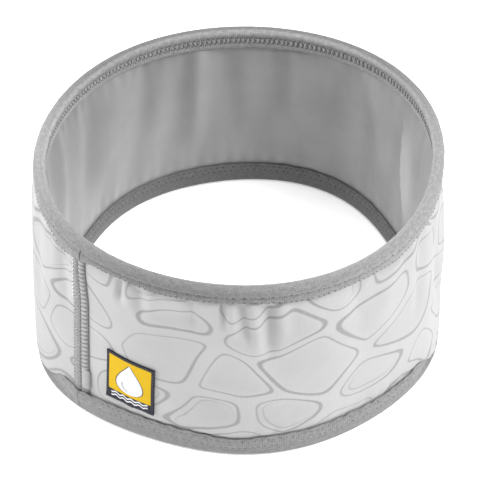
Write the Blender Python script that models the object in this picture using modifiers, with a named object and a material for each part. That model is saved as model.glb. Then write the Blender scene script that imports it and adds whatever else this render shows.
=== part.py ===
"""Cooling bandana: a pull-on neck band of light cloth.

A printed outer shell and a grey lining stand as two thin walls side by side. A folded
knit binding holds both along the top edge and another along the bottom edge, a ribbed
tape covers the seam that closes the band, and a small label is sewn beside it.

Sizes are in millimetres and angles in degrees. Angle 0 is the front of the band (-Y)
and angle 90 its right side (+X). Heights are measured from the surface it stands on.
"""

import math
from collections import namedtuple

import bmesh
import bpy

MM = 0.001

# Overall size
BAND_HEIGHT = 78.7
CLOTH_WALL = 1.0
CLOTH_GAP = 0.3

# Outline of the middle line of the cloth, as a sum of waves round the band
Wave = namedtuple("Wave", "order cosine sine")
LOWER_OUTLINE = [Wave(*row) for row in (
    (0, 75.5, 0.0),
    (2, 3.0, -0.9),
    (3, -2.8, 0.5),
    (4, -0.1, 0.1),
    (5, 1.2, 0.6),
)]
UPPER_OUTLINE = [Wave(*row) for row in (
    (0, 74.3, 0.0),
    (2, 1.7, -0.6),
    (3, 0.2, 0.5),
    (4, -0.4, 0.4),
)]
UPPER_EDGE_LEAN = (0.7, -0.35)

# Bindings: a strip of knit folded over each edge, its two ends meeting at the seam
SEAM_ANGLE = -46.7
OUTER_LEG_TOP = 6.8
OUTER_LEG_BOTTOM = 9.4
INNER_LEG_TOP = 7.6
INNER_LEG_BOTTOM = 9.6
BINDING_HALF = CLOTH_GAP / 2 + 2 * CLOTH_WALL + CLOTH_GAP
ROLL_STEPS = 4
RESTING_HALF_WIDTH = 1.0
RESTING_CORNER = 1.9
RESTING_STEPS = 2
TURN_CLEARANCE = 0.3
BINDING_COLUMNS = 66

# Where the sewing draws the outer leg of a binding longer or shorter
EdgeWave = namedtuple("EdgeWave", "angle longer half_width")
TOP_EDGE_WAVES = [EdgeWave(*row) for row in (
    (-54.0, 3.2, 6.0),
    (-33.0, -0.5, 5.0),
    (-22.0, 0.3, 4.0),
    (0.0, -0.5, 9.0),
    (20.0, 0.6, 5.0),
    (46.0, 0.9, 6.0),
    (110.0, -0.7, 14.0),
    (205.0, 0.7, 16.0),
)]
BOTTOM_EDGE_WAVES = [EdgeWave(*row) for row in (
    (-34.0, 1.1, 14.0),
    (-2.0, -1.4, 7.0),
    (31.0, 0.5, 6.0),
    (62.0, -0.7, 10.0),
    (150.0, 0.7, 16.0),
    (235.0, -0.7, 16.0),
)]

# Outer shell: it swells between the bindings, most on the left side, and the seam holds it flat
SHELL_MIDDLE = (CLOTH_GAP + CLOTH_WALL) / 2
SHELL_SWELL = 2.2
SHELL_SWELL_TO_LEFT = 0.6
SEAM_HOLD_HALF_WIDTH = 14.0
SHELL_FRONT_STEP = 2.5
SHELL_BACK_STEP = 4.5
SHELL_FRONT_FROM = -65.0
SHELL_FRONT_TO = 70.0
SHELL_ROWS = (0.0, 0.08, 0.24, 0.46, 0.66, 0.8, 0.92, 1.0)

# Lining: it swells a little inwards
LINING_SWELL = 1.3
LINING_COLUMNS = 80
LINING_ROWS = (0.0, 0.1, 0.28, 0.5, 0.72, 0.9, 1.0)

# Folds. The share is 0 at the bottom binding and 1 at the top binding, and a positive
# height stands out of the band. Each fold dies out towards its low end, and close to the
# top binding, and none runs on under the seam tape.
Fold = namedtuple("Fold", "angle_high angle_low share_high share_low height half_width")
FOLD_END_RATE = 1.6
FOLD_TOP_FADE = 0.08
TAPE_CALM_HALF_WIDTH = 4.5
SHELL_FOLDS = [Fold(*row) for row in (
    (-33.1, -33.4, 0.99, 0.80, -0.9, 1.5),
    (-30.4, -30.6, 0.99, 0.82, 0.4, 1.6),
    (-27.5, -27.0, 0.99, 0.76, -0.7, 2.2),
    (-12.7, -12.5, 0.99, 0.76, -0.6, 2.0),
    (-4.9, -4.4, 0.99, 0.80, -0.7, 1.6),
    (-2.6, -2.2, 0.99, 0.72, 0.5, 1.6),
    (-0.4, 2.6, 0.99, 0.68, -0.9, 1.9),
    (3.2, 4.4, 0.99, 0.62, 0.6, 2.0),
    (6.6, 7.4, 0.99, 0.56, -1.1, 2.2),
    (10.2, 10.8, 0.99, 0.70, 0.5, 2.0),
    (-56.0, -53.0, 0.97, 0.50, -0.9, 3.4),
    (-72.0, -66.0, 0.95, 0.25, -0.7, 4.0),
    (-88.0, -90.0, 0.90, 0.10, 0.6, 6.0),
    (-8.0, -11.0, 0.30, 0.02, -0.6, 4.0),
    (30.0, 34.0, 0.97, 0.55, -0.5, 3.0),
    (44.0, 40.0, 0.97, 0.60, 0.5, 4.0),
    (59.0, 55.0, 0.97, 0.35, -0.8, 3.2),
    (69.0, 72.0, 0.97, 0.15, -0.8, 3.0),
    (81.0, 80.0, 0.90, 0.20, 0.6, 4.0),
    (98.0, 94.0, 0.97, 0.30, -0.7, 4.0),
    (122.0, 127.0, 0.97, 0.45, -0.8, 4.5),
    (143.0, 140.0, 0.97, 0.10, 0.7, 6.0),
    (163.0, 160.0, 0.97, 0.50, -0.8, 4.5),
    (186.0, 190.0, 0.97, 0.20, -0.7, 5.0),
    (208.0, 205.0, 0.97, 0.55, 0.7, 5.0),
    (229.0, 232.0, 0.97, 0.40, -0.8, 4.5),
    (252.0, 249.0, 0.97, 0.30, -0.7, 4.5),
)]
LINING_FOLDS = [Fold(*row) for row in (
    (253.0, 259.0, 0.98, 0.10, -0.8, 4.5),
    (238.0, 239.5, 0.98, 0.20, 0.7, 4.0),
    (223.0, 242.0, 0.98, 0.05, -1.0, 5.0),
    (212.0, 222.0, 0.98, 0.15, 0.6, 5.5),
    (195.2, 204.5, 0.98, 0.12, 1.0, 4.5),
    (188.0, 195.6, 0.98, 0.05, -1.0, 4.5),
    (181.0, 178.0, 0.98, 0.15, 0.8, 5.5),
    (165.5, 167.5, 0.98, 0.30, 0.8, 4.5),
    (156.0, 160.0, 0.98, 0.35, -0.9, 4.5),
    (149.2, 157.0, 0.98, 0.08, 1.0, 4.5),
    (137.5, 132.0, 0.98, 0.20, -1.0, 5.5),
    (121.5, 118.0, 0.92, 0.20, 0.9, 4.5),
    (112.0, 107.0, 0.98, 0.10, -1.0, 6.0),
    (88.0, 92.0, 0.98, 0.20, 0.6, 6.0),
    (62.0, 58.0, 0.98, 0.30, -0.7, 6.0),
    (35.0, 38.0, 0.98, 0.25, 0.7, 6.0),
    (10.0, 6.0, 0.98, 0.20, -0.7, 6.0),
    (-18.0, -14.0, 0.98, 0.30, 0.7, 6.0),
    (-70.0, -66.0, 0.98, 0.20, 0.6, 6.0),
    (-86.0, -90.0, 0.98, 0.25, -0.7, 6.0),
)]

# Seam tape: two ribs side by side over the closing seam
TAPE_WIDTH = 8.0
TAPE_RIB = 0.45
TAPE_END_GAP = 0.4
TAPE_COLUMNS = 8

# Label: it is sewn on a little crooked, its upper edge turned to the right
LABEL_ANGLE = -30.3
LABEL_MIDDLE_HEIGHT = 25.6
LABEL_WIDTH = 19.4
LABEL_HEIGHT = 23.3
LABEL_TURN = 3.0
LABEL_COLUMNS = 6
LABEL_ROWS = 5

# Edges sharper than this stay crisp
CREASE_ANGLE = 50.0

# Points closer than this are one, in metres
WELD_DISTANCE = 0.00001

# Material of each piece: colour, roughness
FINISHES = {
    "outer_shell": ((0.72, 0.72, 0.72), 0.7),
    "lining": ((0.34, 0.34, 0.34), 0.55),
    "top_binding": ((0.32, 0.32, 0.32), 0.9),
    "bottom_binding": ((0.32, 0.32, 0.32), 0.9),
    "seam_tape": ((0.34, 0.34, 0.34), 0.9),
    "label": ((0.85, 0.6, 0.02), 0.6),
}


def wave_sum(table, angle):
    """Radius at an angle from a table of waves."""
    turn = math.radians(angle)
    return sum(wave.cosine * math.cos(wave.order * turn) + wave.sine * math.sin(wave.order * turn)
               for wave in table)


def wrapped(angle):
    """The same angle, between -180 and 180."""
    return (angle + 180.0) % 360.0 - 180.0


def bump(distance, half_width):
    """1 in the middle of a soft bump, falling away over about its half width."""
    return math.exp(-((distance / half_width) ** 2))


def smooth_step(value):
    """0 up to 0, 1 from 1, and a smooth ramp between."""
    value = min(1.0, max(0.0, value))
    return value * value * (3.0 - 2.0 * value)


def unshifted(angle, height, outward):
    """Plan position of a point at this angle and height, outward of the middle line."""
    share = height / BAND_HEIGHT
    lower = wave_sum(LOWER_OUTLINE, angle)
    radius = lower + (wave_sum(UPPER_OUTLINE, angle) - lower) * share + outward
    turn = math.radians(angle)
    lean_x, lean_y = UPPER_EDGE_LEAN
    return radius * math.sin(turn) + lean_x * share, -radius * math.cos(turn) + lean_y * share


def plan_centre():
    """Middle of the band's plan extent, which the origin is set to."""
    heights = (RESTING_CORNER, BAND_HEIGHT / 2, BAND_HEIGHT - BINDING_HALF)
    reach = [unshifted(angle, height, outward_reach(angle, height))
             for angle in range(360) for height in heights]
    xs = [x for x, _ in reach]
    ys = [y for _, y in reach]
    return (min(xs) + max(xs)) / 2, (min(ys) + max(ys)) / 2


def outward_reach(angle, height):
    """Outermost cloth at this place: a binding near the edges, or the shell between them."""
    swell = shell_offset(angle, share_at(angle, height)) + CLOTH_WALL / 2
    return max(BINDING_HALF, swell)


def place(angle, height, outward):
    """Point of the band in metres."""
    x, y = unshifted(angle, height, outward)
    return (x - CENTRE[0]) * MM, (y - CENTRE[1]) * MM, height * MM


def edge_wave(table, angle):
    """How much longer the outer leg of a binding is here."""
    return sum(wave.longer * bump(wrapped(angle - wave.angle), wave.half_width)
               for wave in table)


def lower_edge(angle):
    """Height of the upper end of the bottom binding's outer leg."""
    return OUTER_LEG_BOTTOM + edge_wave(BOTTOM_EDGE_WAVES, angle)


def upper_edge(angle):
    """Height of the lower end of the top binding's outer leg."""
    return BAND_HEIGHT - OUTER_LEG_TOP - edge_wave(TOP_EDGE_WAVES, angle)


def share_at(angle, height):
    """Place between the bindings' outer legs, from 0 at the lower to 1 at the upper."""
    low, high = lower_edge(angle), upper_edge(angle)
    return min(1.0, max(0.0, (height - low) / (high - low)))


def arch(share):
    """Swell between the two bindings, 0 at both and 1 half way."""
    return math.sqrt(max(0.0, 4.0 * share * (1.0 - share)))


def fold_relief(table, angle, share):
    """Height of all the folds of a table at this place."""
    total = 0.0
    for fold in table:
        if not fold.share_low < share < fold.share_high:
            continue
        along = (share - fold.share_low) / (fold.share_high - fold.share_low)
        middle = fold.angle_low + (fold.angle_high - fold.angle_low) * along
        fade = smooth_step(along * FOLD_END_RATE) * smooth_step((1.0 - share) / FOLD_TOP_FADE)
        total += fold.height * fade * bump(wrapped(angle - middle), fold.half_width)
    return total


def shell_offset(angle, share):
    """Middle of the outer shell's wall, outward of the band's middle line."""
    swell = SHELL_SWELL - SHELL_SWELL_TO_LEFT * math.sin(math.radians(angle))
    free = 1.0 - bump(wrapped(angle - SEAM_ANGLE), SEAM_HOLD_HALF_WIDTH)
    calm = 1.0 - bump(wrapped(angle - SEAM_ANGLE), TAPE_CALM_HALF_WIDTH)
    return (SHELL_MIDDLE + swell * free * arch(share)
            + calm * fold_relief(SHELL_FOLDS, angle, share))


def lining_offset(angle, share):
    """Middle of the lining's wall, outward of the band's middle line."""
    return (-SHELL_MIDDLE - LINING_SWELL * arch(share)
            + arch(share) * fold_relief(LINING_FOLDS, angle, share))


def new_object(name, mesh):
    """Adds a named piece with its own material to the band's collection."""
    piece = bpy.data.objects.new(name, mesh)
    BAND.objects.link(piece)
    colour, roughness = FINISHES[name]
    material = bpy.data.materials.new(name)
    material.use_nodes = True
    shader = material.node_tree.nodes["Principled BSDF"]
    shader.inputs["Base Color"].default_value = (*colour, 1.0)
    shader.inputs["Roughness"].default_value = roughness
    shader.inputs["Metallic"].default_value = 0.0
    mesh.materials.append(material)
    mesh.shade_smooth()
    mesh.set_sharp_from_angle(angle=math.radians(CREASE_ANGLE))
    return piece


def wrap_grid(name, columns, rows, shape, closing=None):
    """A flat grid wrapped into place: shape(column, row) gives each corner's point.

    Closing joins the edges that meet: "ring" for a band, and "solid" for a tube whose two
    ends are then capped.
    """
    grid = bmesh.new()
    bmesh.ops.create_grid(grid, x_segments=columns, y_segments=rows, size=0.5)
    for corner in grid.verts:
        column = round((corner.co.x + 0.5) * columns)
        row = round((corner.co.y + 0.5) * rows)
        corner.co = shape(column, row)
    if closing:
        bmesh.ops.remove_doubles(grid, verts=grid.verts, dist=WELD_DISTANCE)
    if closing == "solid":
        open_edges = [edge for edge in grid.edges if edge.is_boundary]
        bmesh.ops.holes_fill(grid, edges=open_edges)
    bmesh.ops.recalc_face_normals(grid, faces=grid.faces)
    mesh = bpy.data.meshes.new(name)
    grid.to_mesh(mesh)
    grid.free()
    return new_object(name, mesh)


def give_wall(piece):
    """Gives an open sheet its thickness, half on each side."""
    wall = piece.modifiers.new("wall", "SOLIDIFY")
    wall.thickness = CLOTH_WALL * MM
    wall.offset = 0.0
    wall.use_even_offset = True


def shell_angles():
    """Columns of the shell, closer together at the front, where its folds are narrow."""
    angles = [SHELL_FRONT_FROM]
    while angles[-1] < SHELL_FRONT_FROM + 360.0 - SHELL_BACK_STEP / 2:
        step = SHELL_FRONT_STEP if angles[-1] < SHELL_FRONT_TO else SHELL_BACK_STEP
        angles.append(angles[-1] + step)
    angles[-1] = SHELL_FRONT_FROM + 360.0
    return angles


def core_ends():
    """Lowest and highest edge of the shell and the lining, inside the bindings."""
    return RESTING_CORNER + TURN_CLEARANCE, BAND_HEIGHT - BINDING_HALF - TURN_CLEARANCE


def make_shell():
    """Printed outer wall, tucked into both bindings."""
    angles = shell_angles()
    core_low, core_high = core_ends()
    last = len(SHELL_ROWS) + 1

    def shape(column, row):
        angle = angles[column % (len(angles) - 1)]
        if row in (0, last):
            return place(angle, core_low if row == 0 else core_high, SHELL_MIDDLE)
        share = SHELL_ROWS[row - 1]
        low, high = lower_edge(angle), upper_edge(angle)
        return place(angle, low + (high - low) * share, shell_offset(angle, share))

    shell = wrap_grid("outer_shell", len(angles) - 1, last, shape, "ring")
    give_wall(shell)


def make_lining():
    """Grey inner wall, tucked into both bindings."""
    core_low, core_high = core_ends()
    low, high = INNER_LEG_BOTTOM, BAND_HEIGHT - INNER_LEG_TOP
    last = len(LINING_ROWS) + 1

    def shape(column, row):
        angle = (column % LINING_COLUMNS) * 360.0 / LINING_COLUMNS
        if row in (0, last):
            return place(angle, core_low if row == 0 else core_high, -SHELL_MIDDLE)
        share = LINING_ROWS[row - 1]
        return place(angle, low + (high - low) * share, lining_offset(angle, share))

    lining = wrap_grid("lining", LINING_COLUMNS, last, shape, "ring")
    give_wall(lining)


def rolled_fold(outer_leg):
    """Section of the top binding: outward and down-from-the-top distances, all round."""
    section = []
    for half, forward in ((BINDING_HALF, True), (BINDING_HALF - CLOTH_WALL, False)):
        turns = [math.pi * step / ROLL_STEPS for step in range(ROLL_STEPS + 1)]
        face = [(half, outer_leg)]
        face += [(half * math.cos(turn), BINDING_HALF - half * math.sin(turn)) for turn in turns]
        face += [(-half, INNER_LEG_TOP)]
        section += face if forward else face[::-1]
    return section


def flattened_fold(outer_leg):
    """Section of the bottom binding: outward distances and heights, flat where it rests."""
    section = []
    flat, corner = RESTING_HALF_WIDTH, RESTING_CORNER
    turns = [math.pi / 2 * step / RESTING_STEPS for step in range(RESTING_STEPS + 1)]
    for inset, forward in ((0.0, True), (CLOTH_WALL, False)):
        half = BINDING_HALF - inset
        quarter = [(flat + (half - flat) * math.cos(turn),
                    corner - (corner - inset) * math.sin(turn)) for turn in turns]
        face = [(half, outer_leg)] + quarter
        face += [(-outward, height) for outward, height in quarter[::-1]]
        face += [(-half, INNER_LEG_BOTTOM)]
        section += face if forward else face[::-1]
    return section


def make_binding(name, section_at, height_of):
    """A closed section carried round the band, its two ends meeting at the seam."""
    points = len(section_at(SEAM_ANGLE))
    end_gap = math.degrees(CLOTH_GAP / 2 / MEAN_RADIUS)

    def shape(column, row):
        share = column / BINDING_COLUMNS
        angle = SEAM_ANGLE + end_gap + (360.0 - 2 * end_gap) * share
        outward, distance = section_at(angle)[row % points]
        return place(angle, height_of(distance), outward)

    wrap_grid(name, BINDING_COLUMNS, points, shape, "solid")


def shell_face(angle, height):
    """Outer face of the shell at this place, straight between two of its rows."""
    share = share_at(angle, height)
    above = next(row for row in range(1, len(SHELL_ROWS)) if SHELL_ROWS[row] >= share)
    low, high = SHELL_ROWS[above - 1], SHELL_ROWS[above]
    start, end = shell_offset(angle, low), shell_offset(angle, high)
    return start + (end - start) * (share - low) / (high - low) + CLOTH_WALL / 2


def make_seam_tape():
    """Ribbed tape over the closing seam, from one binding to the other."""
    half_angle = math.degrees(TAPE_WIDTH / 2 / MEAN_RADIUS)
    last = len(SHELL_ROWS) - 1

    def shape(column, row):
        across = 2.0 * column / TAPE_COLUMNS - 1.0
        angle = SEAM_ANGLE + half_angle * across
        low, high = lower_edge(angle), upper_edge(angle)
        height = low + (high - low) * SHELL_ROWS[row]
        height = min(high - TAPE_END_GAP, max(low + TAPE_END_GAP, height))
        rib = TAPE_RIB * abs(math.sin(math.pi * across))
        lift = CLOTH_GAP + CLOTH_WALL / 2 + rib
        return place(angle, height, shell_face(angle, height) + lift)

    tape = wrap_grid("seam_tape", TAPE_COLUMNS, last, shape)
    give_wall(tape)


def make_label():
    """Small upright label sewn flat on the shell beside the seam."""
    turn = math.radians(LABEL_TURN)

    def shape(column, row):
        across = LABEL_WIDTH * (column / LABEL_COLUMNS - 0.5)
        up = LABEL_HEIGHT * (row / LABEL_ROWS - 0.5)
        along = across * math.cos(turn) + up * math.sin(turn)
        angle = LABEL_ANGLE + math.degrees(along / MEAN_RADIUS)
        height = LABEL_MIDDLE_HEIGHT + up * math.cos(turn) - across * math.sin(turn)
        lift = CLOTH_GAP + CLOTH_WALL / 2
        return place(angle, height, shell_face(angle, height) + lift)

    label = wrap_grid("label", LABEL_COLUMNS, LABEL_ROWS, shape)
    give_wall(label)


for old in list(bpy.data.objects):
    bpy.data.objects.remove(old)
BAND = bpy.data.collections.new("cooling_bandana")
bpy.context.scene.collection.children.link(BAND)
MEAN_RADIUS = LOWER_OUTLINE[0][1]
CENTRE = plan_centre()

make_shell()
make_lining()
make_binding("top_binding",
             lambda angle: rolled_fold(BAND_HEIGHT - upper_edge(angle)),
             lambda distance: BAND_HEIGHT - distance)
make_binding("bottom_binding",
             lambda angle: flattened_fold(lower_edge(angle)),
             lambda distance: distance)
make_seam_tape()
make_label()
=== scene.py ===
"""Dresses the cooling bandana: printed shell, satin lining, knit bindings, taped seam,
sewn label and all the stitching, on a plain pale floor in soft studio light.

Lengths in the tables are millimetres and angles are degrees. Angle 0 is the front of the
band (-Y) and angle 90 its right side (+X).
"""

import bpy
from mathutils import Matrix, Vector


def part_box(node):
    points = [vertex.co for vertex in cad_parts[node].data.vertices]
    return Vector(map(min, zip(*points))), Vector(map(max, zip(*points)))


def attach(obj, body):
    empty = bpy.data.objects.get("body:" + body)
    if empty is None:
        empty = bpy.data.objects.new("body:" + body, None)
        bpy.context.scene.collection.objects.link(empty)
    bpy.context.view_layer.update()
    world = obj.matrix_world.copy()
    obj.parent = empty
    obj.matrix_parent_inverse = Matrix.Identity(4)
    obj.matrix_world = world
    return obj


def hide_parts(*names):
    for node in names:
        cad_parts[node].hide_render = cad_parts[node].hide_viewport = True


bl_info = {
    "name": "Cooling Bandana",
    "version": (1, 0, 0),
    "blender": (4, 5, 0),
    "location": "3D Viewport > Sidebar > Bandana",
    "description": "Builds a bound and printed cooling neck band piece by piece",
    "category": "Add Mesh",
}

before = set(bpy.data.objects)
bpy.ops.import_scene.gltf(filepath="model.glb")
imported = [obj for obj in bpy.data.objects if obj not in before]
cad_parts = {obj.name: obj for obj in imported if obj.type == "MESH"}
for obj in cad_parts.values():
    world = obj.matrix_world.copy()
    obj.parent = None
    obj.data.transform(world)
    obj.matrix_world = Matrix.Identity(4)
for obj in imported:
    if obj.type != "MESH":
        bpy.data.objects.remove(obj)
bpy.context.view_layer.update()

import math
from collections import namedtuple

import bpy
import numpy as np
from mathutils import Quaternion, Vector

MM = 0.001

# Outline of the middle line of the cloth, as a sum of waves round the band
Wave = namedtuple("Wave", "order cosine sine")
LOWER_OUTLINE = [Wave(*row) for row in (
    (0, 75.5, 0.0),
    (2, 3.0, -0.9),
    (3, -2.8, 0.5),
    (4, -0.1, 0.1),
    (5, 1.2, 0.6),
)]
UPPER_OUTLINE = [Wave(*row) for row in (
    (0, 74.3, 0.0),
    (2, 1.7, -0.6),
    (3, 0.2, 0.5),
    (4, -0.4, 0.4),
)]
UPPER_EDGE_LEAN = (0.7, -0.35)
PLAN_CENTRE = (-0.595, 1.335)
MEAN_RADIUS = 75.5
SEAM_ANGLE = -46.7
TOP_JOIN_ANGLE = -46.2
LOWER_JOIN_ANGLE = -47.4

# Where the sewing draws the outer leg of a binding longer or shorter
EdgeWave = namedtuple("EdgeWave", "angle longer half_width")
TOP_EDGE_WAVES = [EdgeWave(*row) for row in (
    (-54.0, 3.2, 6.0),
    (-33.0, -0.5, 5.0),
    (-22.0, 0.3, 4.0),
    (0.0, -0.5, 9.0),
    (14.0, 0.6, 5.0),
    (21.0, 0.5, 4.0),
    (46.0, 0.9, 6.0),
    (110.0, -0.7, 14.0),
    (205.0, 0.7, 16.0),
)]
BOTTOM_EDGE_WAVES = [EdgeWave(*row) for row in (
    (-34.0, 1.1, 14.0),
    (-2.0, -1.4, 7.0),
    (31.0, 0.5, 6.0),
    (62.0, -0.7, 10.0),
    (150.0, 0.7, 16.0),
    (235.0, -0.7, 16.0),
)]

# Where the shell puffs out and sags over the bottom binding, and presses it inwards. The
# side is 1 at the right and -1 at the left, and the four angles are counted that way from
# the front.
Sag = namedtuple("Sag", "side start full waning gone puff drop press")
SAGS = [Sag(*row) for row in (
    (1.0, 55.0, 70.0, 82.0, 116.0, 1.2, 8.4, 1.2),
    (-1.0, 49.0, 66.0, 84.0, 120.0, 0.95, 8.4, 1.2),
)]
SAG_REACH = 9.0
SAG_TURN = 2.0

# Folds: the share is 0 at the bottom binding and 1 at the top one, and a positive height
# stands out of the band
Fold = namedtuple("Fold", "angle_high angle_low share_high share_low height half_width")
SHELL_FOLDS = [Fold(*row) for row in (
    (-33.1, -33.4, 1.0, 0.80, -1.0, 1.1),
    (-30.4, -30.6, 1.0, 0.82, 0.5, 1.4),
    (-27.5, -27.0, 1.0, 0.76, -0.7, 1.8),
    (-12.7, -12.5, 1.0, 0.76, -0.6, 1.6),
    (-4.9, -4.4, 1.0, 0.80, -0.8, 1.2),
    (-2.6, -2.2, 1.0, 0.72, 0.5, 1.4),
    (-0.4, 2.6, 1.0, 0.68, -0.9, 1.6),
    (3.2, 4.4, 1.0, 0.62, 0.6, 1.8),
    (6.6, 7.4, 1.0, 0.56, -1.2, 1.8),
    (10.2, 10.8, 1.0, 0.70, 0.5, 1.8),
    (-56.0, -53.0, 1.0, 0.50, -0.9, 3.0),
    (-72.0, -66.0, 1.0, 0.25, -0.7, 4.0),
    (-88.0, -90.0, 1.0, 0.10, 0.6, 6.0),
    (-8.0, -11.0, 0.30, 0.00, -0.6, 3.6),
    (30.0, 34.0, 1.0, 0.55, -0.5, 3.0),
    (44.0, 40.0, 1.0, 0.60, 0.5, 4.0),
    (59.0, 55.0, 1.0, 0.35, -0.8, 2.8),
    (69.0, 72.0, 1.0, 0.15, -0.8, 2.6),
    (81.0, 80.0, 1.0, 0.20, 0.6, 4.0),
    (98.0, 94.0, 1.0, 0.30, -0.7, 4.0),
    (122.0, 127.0, 1.0, 0.45, -0.8, 4.0),
    (143.0, 140.0, 1.0, 0.10, 0.7, 6.0),
    (163.0, 160.0, 1.0, 0.50, -0.8, 4.0),
    (186.0, 190.0, 1.0, 0.20, -0.7, 5.0),
    (208.0, 205.0, 1.0, 0.55, 0.7, 5.0),
    (229.0, 232.0, 1.0, 0.40, -0.8, 4.0),
    (252.0, 249.0, 1.0, 0.30, -0.7, 4.0),
)]
LINING_FOLDS = [Fold(*row) for row in (
    (253.0, 259.0, 1.0, 0.10, -0.5, 4.0),
    (233.0, 240.5, 1.0, 0.10, 0.6, 5.0),
    (221.5, 229.5, 1.0, 0.10, -1.0, 5.0),
    (209.0, 212.0, 1.0, 0.30, 0.6, 5.0),
    (192.8, 193.8, 1.0, 0.05, -0.9, 3.4),
    (183.5, 182.5, 1.0, 0.15, 0.7, 4.5),
    (163.5, 165.0, 1.0, 0.35, -0.7, 4.0),
    (150.5, 159.5, 1.0, 0.08, 1.0, 5.0),
    (138.5, 128.0, 1.0, 0.25, -0.9, 4.5),
    (88.0, 92.0, 1.0, 0.20, 0.6, 6.0),
    (62.0, 58.0, 1.0, 0.30, -0.7, 6.0),
    (35.0, 38.0, 1.0, 0.25, 0.7, 6.0),
    (10.0, 6.0, 1.0, 0.20, -0.7, 6.0),
    (-18.0, -14.0, 1.0, 0.30, 0.7, 6.0),
    (-70.0, -66.0, 1.0, 0.20, 0.6, 6.0),
    (-86.0, -90.0, 1.0, 0.25, -0.7, 6.0),
)]

# One sharp crease of the lining: it rises slowly from the front and drops off at the back
LINING_CREASE = Fold(122.6, 111.6, 0.93, 0.10, -1.5, 13.0)
CREASE_DROP_WIDTH = 0.9
FOLD_END_RATE = 2.2
SHELL_FOLD_GAIN = 1.35
LINING_FOLD_GAIN = 1.5
TAPE_CALM_HALF_WIDTH = 4.5
SEAM_HOLD_HALF_WIDTH = 14.0

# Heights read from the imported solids
BAND_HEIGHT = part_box("top_binding")[1].z / MM
CORE_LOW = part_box("lining")[0].z / MM
CORE_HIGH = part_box("lining")[1].z / MM
CORE_SPAN = CORE_HIGH - CORE_LOW
AROUND = math.tau * MEAN_RADIUS


def a_length(name, description, millimetres):
    """A setting for a length."""
    return bpy.props.FloatProperty(
        name=name, description=description, default=millimetres * MM, min=0.0, precision=5,
        unit="LENGTH")


def a_colour(name, description, *default):
    """A setting for a colour."""
    return bpy.props.FloatVectorProperty(
        name=name, description=description, default=default, size=3, min=0.0, max=1.0,
        subtype="COLOR")


def a_power(name, description, watts):
    """A setting for the power of a light."""
    return bpy.props.FloatProperty(
        name=name, description=description, default=watts, min=0.0, unit="POWER")


class BandSettings(bpy.types.PropertyGroup):
    """Sizes of the cloth pieces."""

    cloth_wall: a_length("Cloth wall", "Thickness of shell and lining", 0.8)
    knit_wall: a_length("Knit wall", "Thickness of the folded binding strip", 0.9)
    binding_width: a_length("Binding thickness", "Thickness over both legs of a binding", 4.9)
    top_leg: a_length("Top outer leg", "Height of the top binding's outer leg", 6.8)
    bottom_leg: a_length("Bottom outer leg", "Height of the bottom binding's outer leg", 9.4)
    top_inner_leg: a_length("Top inner leg", "Height of the top binding's inner leg", 7.6)
    bottom_inner_leg: a_length(
        "Bottom inner leg", "Height of the bottom binding's inner leg", 9.6)
    shell_swell: a_length("Shell swell", "How far the shell swells between the bindings", 2.2)
    swell_to_left: a_length("Swell to the left", "Swell moved from right to left", 0.6)
    lining_swell: a_length("Lining swell", "How far the lining swells inwards", 1.3)
    stitch_pitch: a_length("Stitch pitch", "Length of one stitch in the sewing", 1.75)


class PrintSettings(bpy.types.PropertyGroup):
    """The printed stone outlines and the cloth colours."""

    ground: a_colour("Ground", "Shell between the stones", 0.374, 0.374, 0.375)
    stone: a_colour("Stone", "Shell inside the outlines", 0.350, 0.350, 0.351)
    outline: a_colour("Outline", "Colour of the outlines", 0.215, 0.215, 0.216)
    lining: a_colour("Lining", "Colour of the satin lining", 0.268, 0.268, 0.270)
    knit: a_colour("Knit", "Middle colour of the heather knit", 0.20, 0.20, 0.201)
    thread: a_colour("Thread", "Colour of the dark sewing thread", 0.035, 0.035, 0.037)
    stone_length: a_length("Stone length", "Usual length of a printed stone", 31.0)
    stone_height: a_length("Stone height", "Usual height of a printed stone", 20.0)
    seed: bpy.props.IntProperty(
        name="Layout", description="Which layout of stones is printed", default=11, min=0)


class LabelSettings(bpy.types.PropertyGroup):
    """Size and colours of the sewn label."""

    width: a_length("Width", "Width of the label", 19.4)
    height: a_length("Height", "Height of the label", 23.3)
    field: a_colour("Field", "Colour of the label's field", 0.60, 0.38, 0.0)
    border: a_colour("Border", "Colour of the border and lower strip", 0.018, 0.020, 0.030)
    motif: a_colour("Motif", "Colour of the drop and the ripple", 0.68, 0.69, 0.72)


class StageSettings(bpy.types.PropertyGroup):
    """Camera and light."""

    elevation: bpy.props.FloatProperty(
        name="Elevation", description="Angle of the camera above the floor",
        default=math.radians(40.5), subtype="ANGLE")
    roll: bpy.props.FloatProperty(
        name="Roll", description="How far the picture is turned anticlockwise",
        default=math.radians(0.3), subtype="ANGLE")
    distance: a_length("Distance", "Distance of the camera from what it looks at", 918.0)
    lens: bpy.props.FloatProperty(
        name="Lens", description="Focal length in millimetres", default=184.1, min=20.0)
    sky: bpy.props.FloatProperty(
        name="Sky", description="Strength of the light from all round", default=0.5, min=0.0)
    left_power: a_power("Left light", "Power of the light at the left", 18.0)
    right_power: a_power("Right light", "Power of the light at the right", 21.0)
    top_power: a_power("Top light", "Power of the light overhead", 12.0)
    floor: a_colour("Floor", "Colour of the floor", 0.93, 0.93, 0.93)


# Shape of the band

def wave_sum(table, angle):
    """Radius at each angle from a table of waves."""
    turn = np.radians(angle)
    return sum(wave.cosine * np.cos(wave.order * turn) + wave.sine * np.sin(wave.order * turn)
               for wave in table)


def wrapped(angle):
    """The same angle, between -180 and 180."""
    return (angle + 180.0) % 360.0 - 180.0


def bump(distance, half_width):
    """1 in the middle of a soft bump, falling away over about its half width."""
    return np.exp(-((distance / half_width) ** 2))


def smooth_step(value):
    """0 up to 0, 1 from 1, and a smooth ramp between."""
    value = np.clip(value, 0.0, 1.0)
    return value * value * (3.0 - 2.0 * value)


def fading(distance, reach):
    """1 up to a distance of 0, then dying away over about its reach."""
    return np.exp(-np.clip(distance, 0.0, None) / reach)


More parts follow.
